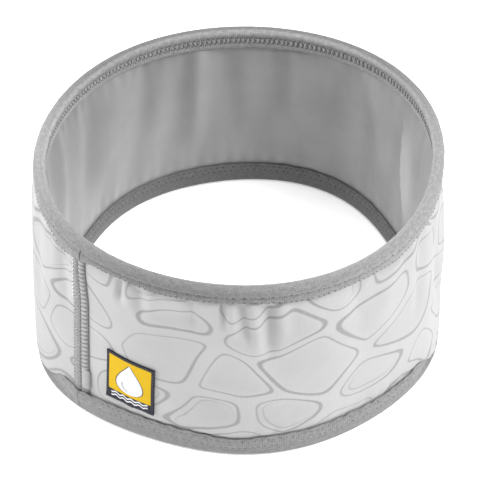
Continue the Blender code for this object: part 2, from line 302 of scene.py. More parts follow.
def place(angle, height, outward):
    """Points of the band in metres, from angles, heights and distances off the middle line."""
    share = height / BAND_HEIGHT
    lower = wave_sum(LOWER_OUTLINE, angle)
    radius = lower + (wave_sum(UPPER_OUTLINE, angle) - lower) * share + outward
    turn = np.radians(angle)
    x = radius * np.sin(turn) + UPPER_EDGE_LEAN[0] * share - PLAN_CENTRE[0]
    y = -radius * np.cos(turn) + UPPER_EDGE_LEAN[1] * share - PLAN_CENTRE[1]
    return np.stack([x, y, height + 0.0 * angle], axis=-1) * MM


def edge_wave(table, angle):
    """How much longer the outer leg of a binding is at each angle."""
    return sum(wave.longer * bump(wrapped(angle - wave.angle), wave.half_width)
               for wave in table)


def lower_edge(angle):
    """Height of the upper end of the bottom binding's outer leg."""
    return bpy.context.scene.bandana.bottom_leg / MM + edge_wave(BOTTOM_EDGE_WAVES, angle)


def upper_edge(angle):
    """Height of the lower end of the top binding's outer leg."""
    leg = bpy.context.scene.bandana.top_leg / MM
    return BAND_HEIGHT - leg - edge_wave(TOP_EDGE_WAVES, angle)


def wander(angle, waves, seed):
    """Smooth unevenness round the band, mostly between -1 and 1, about this many waves."""
    rng = np.random.default_rng(seed)
    total = np.zeros_like(angle, dtype=float)
    for _ in range(7):
        order = rng.integers(int(waves * 0.6), int(waves * 1.5) + 1)
        total = total + rng.uniform(0.4, 1.0) * np.sin(
            order * np.radians(angle) + rng.uniform(0.0, math.tau))
    return total / 2.2


def sagging(angle, measure, lag=0.5):
    """Puff, drop or press of the sagging cloth at each angle, slower to grow with a lag."""
    total = 0.0 * angle
    for sag in SAGS:
        way = wrapped(angle) * sag.side
        grown = smooth_step((way - sag.start) / (sag.full - sag.start))
        grown = grown * smooth_step((sag.gone - way) / (sag.gone - sag.waning))
        total = total + getattr(sag, measure) * grown ** lag
    return total


def sunk(angle, height):
    """Height of a point of the shell once the cloth has sagged."""
    above = np.clip(height - lower_edge(angle), 0.0, None)
    hang = smooth_step(above / SAG_TURN) * fading(above - SAG_TURN, SAG_REACH)
    return height - sagging(angle, "drop", 1.1) * hang


def arch(share):
    """Swell between the two bindings, 0 at both and 1 half way."""
    return np.sqrt(np.clip(4.0 * share * (1.0 - share), 0.0, 1.0))


def fold_relief(table, angle, share):
    """Height of all the folds of a table."""
    total = np.zeros_like(share)
    for fold in table:
        along = (share - fold.share_low) / (fold.share_high - fold.share_low)
        middle = fold.angle_low + (fold.angle_high - fold.angle_low) * along
        fade = smooth_step(along * FOLD_END_RATE) * (along <= 1.0) * (along >= 0.0)
        off = wrapped(angle - middle)
        ridge = bump(off, fold.half_width) - 0.3 * bump(off, 2.2 * fold.half_width)
        total += fold.height * fade * ridge / 0.7
    return total


def crease_shares(angle, share):
    """How much the slow side of the crease has risen, and how much of its steep side is left."""
    fold = LINING_CREASE
    off = wrapped(angle - fold.angle_low - (fold.angle_high - fold.angle_low) * share)
    along = (share - fold.share_low) / (fold.share_high - fold.share_low)
    fade = smooth_step(along * FOLD_END_RATE) * smooth_step((1.0 - along) * FOLD_END_RATE)
    slow = smooth_step(1.0 + off / fold.half_width) * (off < 0.0)
    steep = smooth_step(1.0 - off / CREASE_DROP_WIDTH) * (off >= 0.0)
    return fade * slow, fade * steep


# Each cloth lies this far off the middle line, puckers this far from a binding, and lies
# flat where it runs into one
CLOTH_OFF_MIDDLE = 0.6
PUCKER_REACH = 4.5
PUCKER_REACH_LOW = 4.0
FLAT_RUN = 1.5


def between_bindings(height, low, high):
    """Share of the way up, and how free the cloth is of the two bindings."""
    free = smooth_step(np.minimum(height - low, high - height) / FLAT_RUN)
    return np.clip((height - low) / (high - low), 0.0, 1.0), free


def shell_offset(angle, height):
    """Middle of the shell's wall, outward of the band's middle line."""
    sizes = bpy.context.scene.bandana
    low, high = lower_edge(angle), upper_edge(angle)
    share, free = between_bindings(height, low, high)
    from_seam = wrapped(angle - SEAM_ANGLE)
    swell = (sizes.shell_swell - sizes.swell_to_left * np.sin(np.radians(angle))) / MM
    swell = swell * (1.0 - bump(from_seam, SEAM_HOLD_HALF_WIDTH))
    calm = 1.0 - bump(from_seam, TAPE_CALM_HALF_WIDTH)
    pucker = 0.30 * fading(high - height, PUCKER_REACH) * wander(angle, 62, 3)
    pucker = pucker + 0.22 * fading(height - low, PUCKER_REACH_LOW) * wander(angle, 55, 4)
    slack = 0.25 * arch(share) * wander(angle + 0.10 * height, 16, 5)
    relief = SHELL_FOLD_GAIN * fold_relief(SHELL_FOLDS, angle, share)
    puff = sagging(angle, "puff") * fading(height - low, SAG_REACH)
    puff = puff * smooth_step((height - low) / FLAT_RUN)
    return (CLOTH_OFF_MIDDLE + swell * arch(share) + puff
            + calm * free * (relief + pucker + slack))


def lining_offset(angle, height):
    """Middle of the lining's wall, outward of the band's middle line."""
    sizes = bpy.context.scene.bandana
    low, high = sizes.bottom_inner_leg / MM, BAND_HEIGHT - sizes.top_inner_leg / MM
    share, free = between_bindings(height, low, high)
    pucker = 0.30 * fading(high - height, PUCKER_REACH) * wander(angle, 70, 6)
    pucker = pucker + 0.25 * fading(height - low, PUCKER_REACH) * wander(angle, 60, 7)
    relief = LINING_FOLD_GAIN * fold_relief(LINING_FOLDS, angle, share)
    slack = 0.35 * wander(angle + 0.12 * height, 22, 8)
    loose = 0.35 + 0.65 * arch(share)
    crease = LINING_CREASE.height * sum(crease_shares(angle, share))
    swell = sizes.lining_swell / MM * arch(share) ** 1.6
    return free * (loose * (relief + slack) + pucker + crease) - CLOTH_OFF_MIDDLE - swell


def lining_slope(angle, height):
    """How steeply the lining turns outwards, in the direction of growing angles."""
    step = 0.25
    rise = lining_offset(angle + step, height) - lining_offset(angle - step, height)
    return rise / (2.0 * math.radians(step) * MEAN_RADIUS)


# Making meshes

def clear_selection():
    """Leaves nothing selected and object mode on."""
    if bpy.context.object and bpy.context.object.mode != "OBJECT":
        bpy.ops.object.mode_set(mode="OBJECT")
    bpy.ops.object.select_all(action="DESELECT")


def only(piece):
    """Makes a piece the one selected and active object."""
    clear_selection()
    bpy.context.view_layer.objects.active = piece
    piece.select_set(True)


def flat_cloth(name, columns, rows):
    """A flat square of cloth as a grid, with the place of each point on it, 0 to 1."""
    clear_selection()
    bpy.ops.mesh.primitive_grid_add(x_subdivisions=columns, y_subdivisions=rows, size=1.0)
    piece = bpy.context.object
    piece.name = piece.data.name = name
    points = np.zeros(len(piece.data.vertices) * 3)
    piece.data.vertices.foreach_get("co", points)
    points = points.reshape(-1, 3) + 0.5
    return piece, points[:, 0], points[:, 1]


def shape_cloth(piece, points, facts=None):
    """Moves each point of a flat cloth to its place, and notes facts about it."""
    piece.data.vertices.foreach_set("co", points.reshape(-1).astype(np.float32))
    for name, values in (facts or {}).items():
        attribute = piece.data.attributes.new(name, "FLOAT", "POINT")
        attribute.data.foreach_set("value", values.astype(np.float32))
    piece.data.update()


def close_ring(piece):
    """Joins the two ends of a cloth that goes all the way round."""
    only(piece)
    bpy.ops.object.mode_set(mode="EDIT")
    bpy.ops.mesh.select_all(action="SELECT")
    bpy.ops.mesh.remove_doubles(threshold=0.02 * MM)
    bpy.ops.mesh.normals_make_consistent(inside=False)
    bpy.ops.object.mode_set(mode="OBJECT")


def give_wall(piece, thickness):
    """Thickens a cloth evenly to both sides and smooths its shading."""
    only(piece)
    wall = piece.modifiers.new("wall", "SOLIDIFY")
    wall.thickness = thickness
    wall.offset = 0.0
    bpy.ops.object.modifier_apply(modifier=wall.name)
    bpy.ops.object.shade_smooth_by_angle(angle=math.radians(50.0))


def one_thread(name, segments, rings):
    """A short round-ended thread along X, one unit long and one unit thick."""
    clear_selection()
    bpy.ops.mesh.primitive_uv_sphere_add(segments=segments, ring_count=rings, radius=0.5)
    thread = bpy.context.object
    thread.name = name
    bpy.ops.object.mode_set(mode="EDIT")
    bpy.ops.mesh.select_all(action="SELECT")
    bpy.ops.transform.rotate(value=math.radians(90.0), orient_axis="Y",
                             center_override=(0.0, 0.0, 0.0))
    bpy.ops.object.mode_set(mode="OBJECT")
    return thread


def sew(name, starts, ends, normals, thickness, bow, segments=6, rings=5):
    """One piece of many stitches, each a short thread from a start to an end.

    A stitch bows out along its normal in the middle, and its ends sink into the cloth.
    """
    pattern = one_thread(name, segments, rings)
    mesh = pattern.data
    count = len(mesh.vertices)
    unit = np.zeros(count * 3)
    mesh.vertices.foreach_get("co", unit)
    unit = unit.reshape(-1, 3)
    faces = [tuple(face.vertices) for face in mesh.polygons]
    bpy.data.objects.remove(pattern)
    along = ends - starts
    length = np.linalg.norm(along, axis=1, keepdims=True)
    along = along / length
    side = np.cross(normals, along)
    side /= np.linalg.norm(side, axis=1, keepdims=True)
    up = np.cross(along, side)
    middle = (starts + ends) / 2
    arc = bow * (1.0 - 4.0 * unit[:, 0] ** 2) - 0.35 * thickness
    points = (middle[:, None, :]
              + along[:, None, :] * length[:, None, :] * unit[None, :, 0:1]
              + side[:, None, :] * thickness * unit[None, :, 1:2]
              + up[:, None, :] * (thickness * unit[:, 2] + arc)[None, :, None])
    all_faces = [tuple(index + shift for index in face)
                 for shift in range(0, count * len(starts), count) for face in faces]
    made = bpy.data.meshes.new(name)
    made.from_pydata(points.reshape(-1, 3).tolist(), [], all_faces)
    stitches = bpy.data.objects.new(name, made)
    bpy.context.collection.objects.link(stitches)
    made.shade_smooth()
    return stitches


def outward_normal(angle):
    """Level direction straight out of the band."""
    turn = np.radians(angle)
    return np.stack([np.sin(turn), -np.cos(turn), 0.0 * turn], axis=-1)


def round_row(pitch):
    """Angles of evenly pitched stitches round the band, and the step between them."""
    count = int(round(AROUND * MM / pitch))
    step = 360.0 / count
    angle = SEAM_ANGLE + 0.5 * step + step * np.arange(count)
    return angle + 0.08 * step * wander(angle, 90, 31), step


# Materials

def scaled(colour, factor):
    """A colour made darker or lighter."""
    return tuple(factor * channel for channel in colour)


class Finish:
    """A material being put together from nodes."""

    def __init__(self, name, roughness, **constants):
        self.material = bpy.data.materials.new(name)
        self.material.use_nodes = True
        self.tree = self.material.node_tree
        self.shader = self.tree.nodes["Principled BSDF"]
        self.shader.inputs["Roughness"].default_value = roughness
        for socket, value in constants.items():
            self.shader.inputs[socket.replace("_", " ")].default_value = value

    def node(self, kind, inputs=None, **settings):
        """Adds a node, with settings, and values or links for its inputs."""
        added = self.tree.nodes.new(kind)
        for name, value in settings.items():
            setattr(added, name, value)
        for socket, value in (inputs or {}).items():
            self.feed(added.inputs[socket], value)
        return added

    def feed(self, socket, value):
        """Links an output to a socket, or sets its value. A colour comes without alpha."""
        if isinstance(value, bpy.types.NodeSocket):
            self.tree.links.new(value, socket)
        elif socket.type == "RGBA":
            socket.default_value = (*value, 1.0)
        else:
            socket.default_value = value

    def sum(self, operation, first, second=0.0):
        """One step of arithmetic."""
        return self.node("ShaderNodeMath", {0: first, 1: second},
                         operation=operation).outputs[0]

    def times(self, first, second):
        """Two values multiplied."""
        return self.sum("MULTIPLY", first, second)

    def ramp(self, value, low, high, start=0.0, end=1.0):
        """A smooth ramp of a value from one range to another."""
        return self.node("ShaderNodeMapRange", {
            "Value": value, "From Min": low, "From Max": high, "To Min": start,
            "To Max": end}, interpolation_type="SMOOTHSTEP").outputs["Result"]

    def fact(self, name):
        """A fact noted on the cloth's points."""
        return self.node("ShaderNodeAttribute", attribute_name=name).outputs["Fac"]

    def line(self, distance, half_width, strength=1.0):
        """Ink of a soft-edged line, from two facts: the distance to it and its half width."""
        inside = self.sum("SUBTRACT", self.fact(half_width),
                          self.sum("ABSOLUTE", self.fact(distance)))
        return self.ramp(inside, -0.24, 0.26, 0.0, strength)

    def placed(self, vector, **changes):
        """A place that is scaled or turned."""
        return self.node("ShaderNodeMapping", {"Vector": vector, **changes}).outputs["Vector"]

    def cloth_place(self, width, length):
        """Place on the flat cloth in millimetres, from its own map."""
        flat = self.node("ShaderNodeUVMap").outputs["UV"]
        return self.placed(flat, Scale=(width, length, 1.0))

    def body_place(self, scale=1000.0):
        """Place in the band, in millimetres unless scaled otherwise."""
        spot = self.node("ShaderNodeTexCoord").outputs["Object"]
        return self.placed(spot, Scale=(scale, scale, scale))

    def noise(self, vector, scale, detail=2.0, roughness=0.5, stretch=None):
        """Soft random variation, 0 to 1, about one patch for each 1 / scale."""
        if stretch:
            vector = self.placed(vector, Scale=stretch)
        return self.node("ShaderNodeTexNoise", {
            "Vector": vector, "Scale": scale, "Detail": detail,
            "Roughness": roughness}).outputs["Fac"]

    def stripes(self, vector, pitch, direction, distortion=0.0):
        """Even soft stripes, 0 to 1, across one direction of the cloth."""
        return self.node("ShaderNodeTexWave", {
            "Vector": vector, "Scale": math.tau / (20.0 * pitch), "Distortion": distortion,
            "Detail": 1.0, "Detail Scale": 2.0}, wave_type="BANDS",
            bands_direction=direction, wave_profile="SIN").outputs["Fac"]

    def mix(self, share, first, second, blend="MIX"):
        """Two colours mixed by a share."""
        return self.node("ShaderNodeMix", {0: share, 6: first, 7: second},
                         data_type="RGBA", blend_type=blend).outputs[2]

    def shade(self, colour, tone):
        """A colour made lighter or darker by a tone."""
        grey = self.node("ShaderNodeCombineXYZ", {0: tone, 1: tone, 2: tone}).outputs[0]
        return self.mix(1.0, colour, grey, "MULTIPLY")

    def shaded(self, colour, value, *ends):
        """A colour made lighter or darker by a ramp of a value."""
        return self.shade(colour, self.ramp(value, *ends))

    def done(self, colour, *reliefs, roughness=None):
        """Connects the colour, the roughness and the bumps.

        A bump is a height and the depth, in millimetres, that a height of 1 stands for.
        """
        self.feed(self.shader.inputs["Base Color"], colour)
        if roughness:
            self.feed(self.shader.inputs["Roughness"], roughness)
        normal = {}
        for height, depth in reliefs:
            bump_node = self.node("ShaderNodeBump", {
                "Height": height, "Distance": depth * MM, "Strength": 1.0, **normal})
            normal = {"Normal": bump_node.outputs["Normal"]}
        for socket, value in normal.items():
            self.feed(self.shader.inputs[socket], value)
        return self.material


def printed_cloth():
    """Pale fine weave printed with stone outlines."""
    colours = bpy.context.scene.bandana_print
    finish = Finish("printed_cloth", 0.62, Sheen_Weight=0.08, Sheen_Roughness=0.5,
                    Specular_IOR_Level=0.35)
    spot = finish.cloth_place(AROUND, CORE_SPAN)
    ink = finish.sum("MAXIMUM", finish.line("edge_mm", "edge_half"),
                     finish.line("echo_mm", "echo_half", 0.7))
    mottle = finish.noise(spot, 0.9, 3.0, 0.6)
    ink = finish.times(ink, finish.ramp(mottle, 0.2, 0.8, 0.8, 1.0))
    inside = finish.times(finish.ramp(finish.fact("edge_mm"), -0.3, 3.0),
                          finish.fact("stone_tone"))
    base = finish.mix(inside, colours.ground, colours.stone)
    base = finish.shaded(base, finish.noise(spot, 0.035), 0.3, 0.7, 0.95, 1.03)
    colour = finish.mix(ink, base, colours.outline)
    weave = finish.times(finish.stripes(spot, 0.42, "X"), finish.stripes(spot, 0.42, "Y"))
    colour = finish.shaded(colour, weave, 0.0, 1.0, 0.965, 1.0)
    return finish.done(colour, (weave, 0.035), (finish.noise(spot, 0.22), 0.25))


def satin_cloth():
    """Smooth grey weave with a soft shine, painted lighter and darker on the two sides of each
    fold and painted lighter in the panel beside the crease.
    """
    colours = bpy.context.scene.bandana_print
    finish = Finish("satin_cloth", 0.45, Sheen_Weight=0.1, Sheen_Roughness=0.4,
                    Specular_IOR_Level=0.5)
    spot = finish.cloth_place(AROUND, CORE_SPAN)
    cloud = finish.ramp(finish.noise(spot, 0.05, 3.0), 0.3, 0.7)
    colour = finish.mix(cloud, scaled(colours.lining, 0.90), colours.lining)
    twill = finish.placed(spot, Rotation=(0.0, 0.0, math.radians(32.0)))
    ribs = finish.stripes(twill, 0.38, "X")
    fibres = finish.noise(spot, 1.6, 2.0, 0.6, (0.35, 3.0, 1.0))
    grain = finish.sum("ADD", finish.times(ribs, 0.5), fibres)
    colour = finish.shaded(colour, grain, 0.2, 1.3, 0.94, 1.04)
    # Painted light and shade: the folds' slope, with random streaks, makes the lining lighter on
    # one side of a fold and darker on the other.
    streaks = finish.noise(spot, 0.11, 2.0, 0.5, (1.0, 0.22, 1.0))
    painted_fold_shade = finish.sum("ADD", finish.fact("slope"),
                        finish.ramp(streaks, 0.3, 0.7, -0.06, 0.06))
    colour = finish.shaded(colour, painted_fold_shade, -0.36, 0.36, 1.15, 0.84)
    # Painted light: the panel beside the crease is up to 48 % lighter.
    colour = finish.shaded(colour, finish.fact("painted_light_panel"), 0.0, 0.8, 1.0, 1.48)
    return finish.done(colour, (ribs, 0.02), (finish.noise(spot, 0.18), 0.3),
                       roughness=finish.ramp(fibres, 0.3, 0.7, 0.40, 0.52))


def heather_knit(name, width):
    """Grey knit of mixed light and dark fibres, ribbed across the strip near its edges, with
    painted light and shade from the tone fact and a painted lighter pressed band.
    """
    knit = bpy.context.scene.bandana_print.knit
    finish = Finish(name, 0.85, Sheen_Weight=0.2, Sheen_Roughness=0.6,
                    Specular_IOR_Level=0.25)
    spot = finish.cloth_place(AROUND, width)
    patches = finish.noise(spot, 0.5, 4.0, 0.7, (1.0, 1.6, 1.0))
    fibres = finish.noise(spot, 1.5, 3.0, 0.7, (2.2, 0.8, 1.0))
    pressed = finish.fact("pressed")
    wales = finish.stripes(spot, 0.85, "X", 1.5)
    loops = finish.times(finish.stripes(spot, 0.75, "X", 0.6),
                         finish.stripes(spot, 0.5, "Y", 0.8))
    blend = finish.times(finish.sum("ADD", patches, fibres), 0.5)
    colour = finish.mix(finish.ramp(blend, 0.35, 0.65), scaled(knit, 0.73), scaled(knit, 1.25))
    colour = finish.shaded(colour, loops, 0.0, 0.8, 0.9, 1.03)
    rib_shade = finish.times(finish.ramp(wales, 0.0, 1.0, 0.07, 0.0), pressed)
    colour = finish.shade(colour, finish.sum("SUBTRACT", 1.0, rib_shade))
    # Painted light: the pressed band is made up to 8 % lighter.
    colour = finish.shaded(colour, pressed, 0.0, 1.0, 1.0, 1.08)
    # Painted light and shade from the tone fact.
    colour = finish.shade(colour, finish.fact("tone"))
    return finish.done(colour, (loops, 0.10), (fibres, 0.10),
                       (finish.times(wales, pressed), 0.07))


def tape_knit():
    """Rib knit of the seam tape: heather at the left, darker under the loops at the right, with
    painted shade in the groove between the ribs.
    """
    knit = bpy.context.scene.bandana_print.knit
    finish = Finish("tape_knit", 0.85, Sheen_Weight=0.2, Specular_IOR_Level=0.25)
    spot = finish.cloth_place(*TAPE_FLAT)
    flecks = finish.noise(spot, 1.3, 3.0, 0.7, (1.0, 1.4, 1.0))
    colour = finish.mix(finish.ramp(flecks, 0.35, 0.65), scaled(knit, 0.75), scaled(knit, 1.6))
    side = finish.fact("side")
    colour = finish.mix(finish.ramp(side, -0.03, 0.03), colour, scaled(knit, 0.85))
    # Painted shade: the groove between the two ribs is darker.
    colour = finish.shaded(colour, finish.sum("ABSOLUTE", side), 0.0, 0.12, 0.5, 1.0)
    return finish.done(colour, (finish.stripes(spot, 0.65, "Y", 0.8), 0.14), (flecks, 0.15))


def sewing_thread(name, colour, strength=1.0, contrast=0.3):
    """Twisted thread of a colour made stronger, with pale and dark grain."""
    finish = Finish(name, 0.6, Sheen_Weight=0.2, Specular_IOR_Level=0.4)
    spot = finish.body_place()
    pale, dark = (scaled(colour, strength * (1.0 + way * contrast)) for way in (1.0, -1.0))
    tone = finish.mix(finish.ramp(finish.noise(spot, 2.2), 0.3, 0.7), dark, pale)
    return finish.done(tone, (finish.noise(spot, 5.0, 1.0), 0.06))


def woven_label(width, length):
    """Close satin weave in three colours, laid out by facts on the label's points."""
    colours = bpy.context.scene.bandana_label
    finish = Finish("woven_label", 0.6, Specular_IOR_Level=0.15)
    spot = finish.cloth_place(width, length)
    drop = finish.fact("drop_mm")
    colour = finish.mix(finish.ramp(drop, -0.50, -0.30), colours.field, colours.border)
    colour = finish.mix(finish.ramp(drop, -0.12, 0.08), colour, colours.motif)
    for fact, over in (("shine_mm", scaled(colours.motif, 0.5)),
                       ("border_mm", colours.border), ("ripple_mm", colours.motif)):
        colour = finish.mix(finish.ramp(finish.fact(fact), -0.1, 0.1), colour, over)
    picks = finish.stripes(spot, 0.24, "Y", 0.3)
    ends = finish.stripes(spot, 0.36, "X", 0.3)
    colour = finish.shaded(colour, finish.times(picks, ends), 0.0, 1.0, 0.9, 1.04)
    return finish.done(colour, (picks, 0.04), (ends, 0.03))


def studio_floor():
    """Smooth pale floor with hardly any grain."""
    tint = bpy.context.scene.bandana_stage.floor
    finish = Finish("studio_floor", 0.9, Specular_IOR_Level=0.1,
                    Emission_Color=(1.0, 1.0, 1.0, 1.0), Emission_Strength=0.35)
    grain = finish.noise(finish.body_place(100.0), 4.0)
    return finish.done(finish.mix(grain, scaled(tint, 0.99), tint))


def dress(piece, material, slot, *nodes):
    """Gives a piece its material and body, and hides the solids it stands for. The slot is not
    used.
    """
    piece.data.materials.clear()
    piece.data.materials.append(material)
    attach(piece, "root")
    if nodes:
        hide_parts(*nodes)


# The printed stones

STONE_SHARPNESS = (0.42, 1.5)
STONE_INSET = (1.1, 2.6)
LINE_HALF_WIDTH = (0.40, 0.70)
STONES_WITH_ECHO = 0.22
THINNEST_STONE = 1.5
THINNEST_WITH_ECHO = 4.0


def own_stone(spots, seats, weights):
    """Weighted squared distance of each spot to each stone's seat, and whose spot it is."""
    apart = ((spots[:, None, :] - seats[None, :, :]) ** 2).sum(axis=2) - weights[None, :]
    return apart, apart.argmin(axis=1)


def stone_facts(across, up):
    """How far each point of the shell lies inside its stone's outline, and the line's width.

    Stones share the cloth as cells round evened-out, unequal seats. Each outline is its
    cell drawn in from the neighbours, with rounded corners, and swells to one side. Cells
    too thin for a stone stay bare.
    """
    colours = bpy.context.scene.bandana_print
    rng = np.random.default_rng(colours.seed)
    long, high = colours.stone_length / MM, colours.stone_height / MM
    span = math.tau * MEAN_RADIUS
    columns, rows = int(round(span / long)), int(round(BAND_HEIGHT / high)) + 1
    seats = [((column + 0.5 * (row % 2) + rng.uniform(-0.4, 0.4)) * long,
              (row + rng.uniform(-0.35, 0.35)) * high)
             for row in range(rows) for column in range(-1, columns + 2)]
    squeeze = np.array([high / long, 1.0])
    seats = np.array(seats) * squeeze
    count = len(seats)
    weights = rng.uniform(-0.10, 0.12, count) * high * high
    warp_x = across + 3.0 * np.sin(up / 9.0 + across / 31.0) + 2.0 * np.sin(across / 13.0)
    warp_y = up + 2.4 * np.sin(across / 14.0 + 1.0) + 1.2 * np.sin(across / 7.3 + up / 11.0)
    spots = np.stack([warp_x, warp_y], axis=1) * squeeze
    for _ in range(2):
        own = own_stone(spots, seats, weights)[1]
        for stone in np.unique(own):
            seats[stone] = 0.5 * seats[stone] + 0.5 * spots[own == stone].mean(axis=0)
    inset = rng.uniform(*STONE_INSET, count)
    sharpness = rng.uniform(*STONE_SHARPNESS, count)
    widest = rng.uniform(*LINE_HALF_WIDTH, count)
    heavy_side = rng.uniform(0.0, math.tau, count)
    echo_gap = rng.uniform(1.6, 2.6, count)
    echo_on = rng.uniform(0.0, 1.0, count) < STONES_WITH_ECHO
    tone = rng.uniform(0.2, 1.0, count)
    apart, own = own_stone(spots, seats, weights)
    line = np.arange(len(own))
    reach = np.linalg.norm(seats[own][:, None, :] - seats[None, :, :], axis=2)
    reach[line, own] = 1.0
    border = (apart - apart[line, own][:, None]) / (2.0 * reach)
    border[line, own] = 1e3
    sharp = sharpness[own]
    inside = -np.log(np.exp(-sharp[:, None] * border).sum(axis=1)) / sharp
    edge = inside - inset[own]
    away = spots - seats[own]
    facing = np.arctan2(away[:, 1], away[:, 0]) - heavy_side[own]
    heavy = (0.5 + 0.5 * np.cos(facing)) ** 1.5
    echo_side = 0.5 + 0.5 * np.cos(facing + 2.0)
    echo_half = np.where(echo_on[own], 0.34 * echo_side - 0.08, -1.0)
    deepest = np.zeros(count)
    np.maximum.at(deepest, own, edge)
    depth = deepest[own]
    return {
        "edge_mm": edge,
        "edge_half": np.where(depth > THINNEST_STONE, widest[own] * (0.36 + 0.64 * heavy), -1.0),
        "echo_mm": edge - echo_gap[own] * (0.5 + 0.5 * echo_side),
        "echo_half": np.where(depth > THINNEST_WITH_ECHO, echo_half, -1.0),
        "stone_tone": tone[own],
    }


# Operators, one for each piece or group of like pieces

def core_grid(name, columns, rows):
    """A flat cloth for the shell or the lining: its angles, heights and place, 0 to 1."""
    piece, u, v = flat_cloth(name, columns, rows)
    return piece, SEAM_ANGLE + 360.0 * u, CORE_LOW + CORE_SPAN * v, u, v


def finish_core(piece, material, slot, node):
    close_ring(piece)
    give_wall(piece, bpy.context.scene.bandana.cloth_wall)
    dress(piece, material, slot, node)


class BANDANA_OT_shell(bpy.types.Operator):
    """Builds the printed outer shell"""

    bl_idname = "bandana.shell"
    bl_label = "Outer shell"

    def execute(self, context):
        piece, angle, height, u, _ = core_grid("printed_shell", 520, 80)
        shape_cloth(piece, place(angle, sunk(angle, height), shell_offset(angle, height)),
                    stone_facts(u * AROUND, height))
        finish_core(piece, printed_cloth(), "printed_cloth", "outer_shell")
        return {"FINISHED"}


class BANDANA_OT_lining(bpy.types.Operator):
    """Builds the satin lining"""

    bl_idname = "bandana.lining"
    bl_label = "Lining"

    def execute(self, context):
        piece, angle, height, _, v = core_grid("satin_lining", 360, 64)
        # The second fact marks the panel beside the crease that is painted lighter, and the slope
        # fact drives painted fold shade.
        shape_cloth(piece, place(angle, height, lining_offset(angle, height)),
                    {"slope": lining_slope(angle, height), "painted_light_panel": crease_shares(angle, v)[0]})
        finish_core(piece, satin_cloth(), "lining_cloth", "lining")
        return {"FINISHED"}


# Depth of the sewing below a binding's fold, inside and outside
TOP_NEEDLE_DEPTH = 3.5
TOP_SECOND_DEPTH = 5.9
BOTTOM_INNER_ROWS = (8.0, 6.1)
BOTTOM_OUTER_ROWS = (1.6, 4.4)
EDGE_ROW_INSET = 0.9
TOP_THINNING = 0.7
BACK_LEG_LONGER = 1.3
SIDE_ROWS_RISE = 0.9
LEG_END_TUCK = 0.85
TOP_STRIP_WIDTH = 17.0
BOTTOM_STRIP_WIDTH = 21.0


def strip_path(share, outer, inner, half, wall):
    """Outward distance and depth below the fold, along a strip folded over an edge.

    A share of 0 is the end of the inner leg and 1 the end of the outer leg, and the fold
    between them is a half circle. Also says which points are on the outer leg.
    """
    inner, outer = inner - wall, outer - wall
    inner_run, crown = inner - half, math.pi * half
    way = share * (inner_run + crown + outer - half)
    turn = np.clip((way - inner_run) / crown, 0.0, 1.0) * math.pi
    outward = -half * np.cos(turn)
    depth = half - half * np.sin(turn)
    depth = np.where(way < inner_run, inner - way, depth)
    depth = np.where(way > inner_run + crown, half + way - inner_run - crown, depth)
    return outward, depth + wall / 2, outward > 0.0


def pressed_leg(depth, length, rows, strengths):
    """How far a binding's leg gives way at its stitch rows and at its end."""
    give = sum(strength * bump(depth - row, 0.75) for row, strength in zip(rows, strengths))
    return give + LEG_END_TUCK * smooth_step((depth - length + 1.1) / 1.1)


def over_seam(angle, depth, start, run):
    """How far a binding stands out over the seam tape, from a depth on."""
    return 0.7 * bump(wrapped(angle - SEAM_ANGLE), 3.6) * smooth_step((depth - start) / run)


def side_share(angle):
    """0 at the front and at the back, and 1 at both sides."""
    return np.sin(np.radians(angle)) ** 2


def thinning(angle):
    """How much thinner the top binding is at each angle, all of it from inside."""
    return TOP_THINNING * side_share(angle)


def inner_rise(angle):
    """How much higher the inner sewing of the top binding runs at the sides."""
    return SIDE_ROWS_RISE * side_share(angle)


